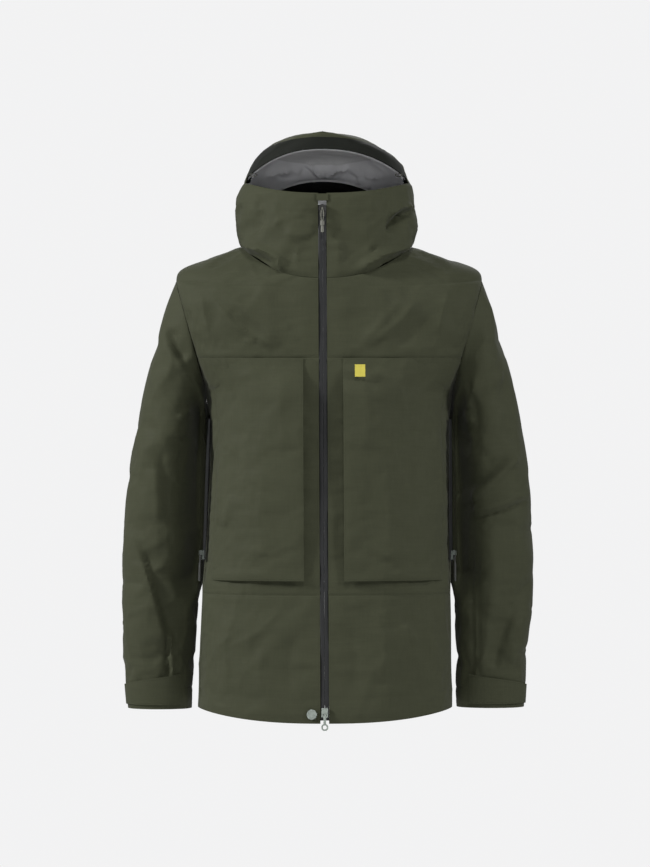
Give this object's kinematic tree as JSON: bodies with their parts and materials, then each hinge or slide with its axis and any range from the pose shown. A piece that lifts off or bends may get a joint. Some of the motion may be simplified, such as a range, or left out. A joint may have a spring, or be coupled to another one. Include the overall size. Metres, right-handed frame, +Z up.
{
  "type": "hardshell jacket",
  "caption": "Hooded hardshell jacket in its worn shape, with a two-way front zip, crossover chest pockets, side vents, cuff tabs and hem draw cords.",
  "frame": {"origin": "gap of the hanger loop, inside the back of the neck", "axes": "+X to the wearer's left, +Y from the front of the jacket to its back, +Z up from the hem to the hood"},
  "size_m": [0.6465, 0.352, 0.9246],
  "materials": {
    "shell": "matt tightly woven face fabric, durable water repellent",
    "face_trim": "matt dark face fabric",
    "lining": "soft grey knit backer",
    "inner_black": "black brushed backer",
    "zip": "matt polyurethane-coated zip tape",
    "zip_slider": "black painted, satin",
    "metal": "nickel, satin",
    "cord": "fine braided cord",
    "plastic": "moulded, fine matt",
    "tab": "woven yellow"
  },
  "bodies": {
    "shell": {"front_left": "shell", "front_right": "shell", "lower_front_left": "shell", "lower_front_right": "shell", "yoke_left": "shell", "yoke_right": "shell", "back_panel": "shell", "back_yoke": "shell", "side_panel_left": "shell", "side_panel_right": "shell", "hem_facing": "face_trim", "chest_pocket_left": "shell", "chest_pocket_right": "shell", "collar_left": "shell", "collar_right": "shell", "inner_collar": "inner_black", "neck_binding": "lining", "hanger_loop": "inner_black", "zip_garage": "shell", "chin_guard": "lining", "main_zip_tape_left": "zip", "main_zip_tape_right": "zip", "main_zip_chain_left": "zip", "main_zip_chain_right": "zip", "side_zip_left": "zip", "side_zip_right": "zip", "hem_snap_cap": "metal", "hem_snap_stud": "metal", "hem_lock_left": "plastic", "hem_lock_right": "plastic", "chest_tab": "tab"},
    "top_slider": {"top_slider": "zip_slider"},
    "top_pull": {"top_pull_cord": "cord", "top_pull_tip": "plastic"},
    "bottom_slider": {"bottom_slider": "metal"},
    "bottom_pull": {"bottom_pull": "metal"},
    "side_slider_left": {"side_slider_left": "metal"},
    "side_pull_left": {"side_pull_left": "plastic"},
    "side_slider_right": {"side_slider_right": "metal"},
    "side_pull_right": {"side_pull_right": "plastic"},
    "hem_plunger_left": {"hem_plunger_left": "plastic"},
    "hem_plunger_right": {"hem_plunger_right": "plastic"},
    "hood": {"hood_side_left": "shell", "hood_side_right": "shell", "hood_centre": "shell", "brim": "face_trim", "hood_lining": "lining", "hood_eyelets": "plastic", "hood_lock": "plastic"},
    "hood_plunger": {"hood_plunger": "plastic"},
    "sleeve_left": {"upper_sleeve_left": "shell", "lower_sleeve_left": "shell", "cuff_left": "shell"},
    "sleeve_right": {"upper_sleeve_right": "shell", "lower_sleeve_right": "shell", "cuff_right": "shell"},
    "cuff_tab_left": {"cuff_tab_left": "shell"},
    "cuff_tab_right": {"cuff_tab_right": "shell"}
  },
  "joints": [
    {"name": "top_slider_slide", "type": "slide", "parent": "shell", "child": "top_slider", "axis": [0.005, -0.0886, -0.9961], "range_m": [0, 0.48]},
    {"name": "top_pull_swing", "type": "hinge", "parent": "top_slider", "child": "top_pull", "pos_m": [-0.00029, -0.15748, 0.05784], "axis": [-1, -0.0004, -0.005], "range_deg": [0, 110]},
    {"name": "bottom_slider_slide", "type": "slide", "parent": "shell", "child": "bottom_slider", "axis": [-0.005, 0.0886, 0.9961], "range_m": [0, 0.22]},
    {"name": "bottom_pull_swing", "type": "hinge", "parent": "bottom_slider", "child": "bottom_pull", "pos_m": [0.00362, -0.22704, -0.72364], "axis": [-1, -0.0004, -0.005], "range_deg": [0, 110]},
    {"name": "side_slider_left_slide", "type": "slide", "parent": "shell", "child": "side_slider_left", "axis": [-0.0006, 0.1292, 0.9916], "range_m": [0, 0.19]},
    {"name": "side_pull_left_swing", "type": "hinge", "parent": "side_slider_left", "child": "side_pull_left", "pos_m": [0.20638, -0.11947, -0.47808], "axis": [-0.2484, -0.9606, 0.125], "range_deg": [0, 110]},
    {"name": "side_slider_right_slide", "type": "slide", "parent": "shell", "child": "side_slider_right", "axis": [0.0287, 0.1291, 0.9912], "range_m": [0, 0.19]},
    {"name": "side_pull_right_swing", "type": "hinge", "parent": "side_slider_right", "child": "side_pull_right", "pos_m": [-0.19014, -0.11944, -0.47783], "axis": [-0.2486, 0.9614, -0.118], "range_deg": [0, 110]},
    {"name": "hem_plunger_left_press", "type": "slide", "parent": "shell", "child": "hem_plunger_left", "axis": [0, 0, -1], "range_m": [0, 0.004], "stiffness_N_per_m": 300, "springref_m": -0.003},
    {"name": "hem_plunger_right_press", "type": "slide", "parent": "shell", "child": "hem_plunger_right", "axis": [0, 0, -1], "range_m": [0, 0.004], "stiffness_N_per_m": 300, "springref_m": -0.003},
    {"name": "hood_tip_back", "type": "hinge", "parent": "shell", "child": "hood", "pos_m": [0, 0.0436, 0.0315], "axis": [-1, 0, 0], "range_deg": [0, 60]},
    {"name": "hood_plunger_press", "type": "slide", "parent": "hood", "child": "hood_plunger", "axis": [0, 0.2419, -0.9703], "range_m": [0, 0.004], "stiffness_N_per_m": 300, "springref_m": -0.003},
    {"name": "sleeve_left_raise", "type": "hinge", "parent": "shell", "child": "sleeve_left", "pos_m": [0.247, -0.035, -0.052], "axis": [0, -1, 0], "range_deg": [0, 35]},
    {"name": "sleeve_right_raise", "type": "hinge", "parent": "shell", "child": "sleeve_right", "pos_m": [-0.226, -0.035, -0.052], "axis": [0, 1, 0], "range_deg": [0, 35]},
    {"name": "cuff_tab_left_open", "type": "hinge", "parent": "sleeve_left", "child": "cuff_tab_left", "pos_m": [0.322, -0.06, -0.7], "axis": [0, 0, 1], "range_deg": [0, 90]},
    {"name": "cuff_tab_right_open", "type": "hinge", "parent": "sleeve_right", "child": "cuff_tab_right", "pos_m": [-0.312, -0.06, -0.7], "axis": [0, 0, -1], "range_deg": [0, 90]}
  ]
}
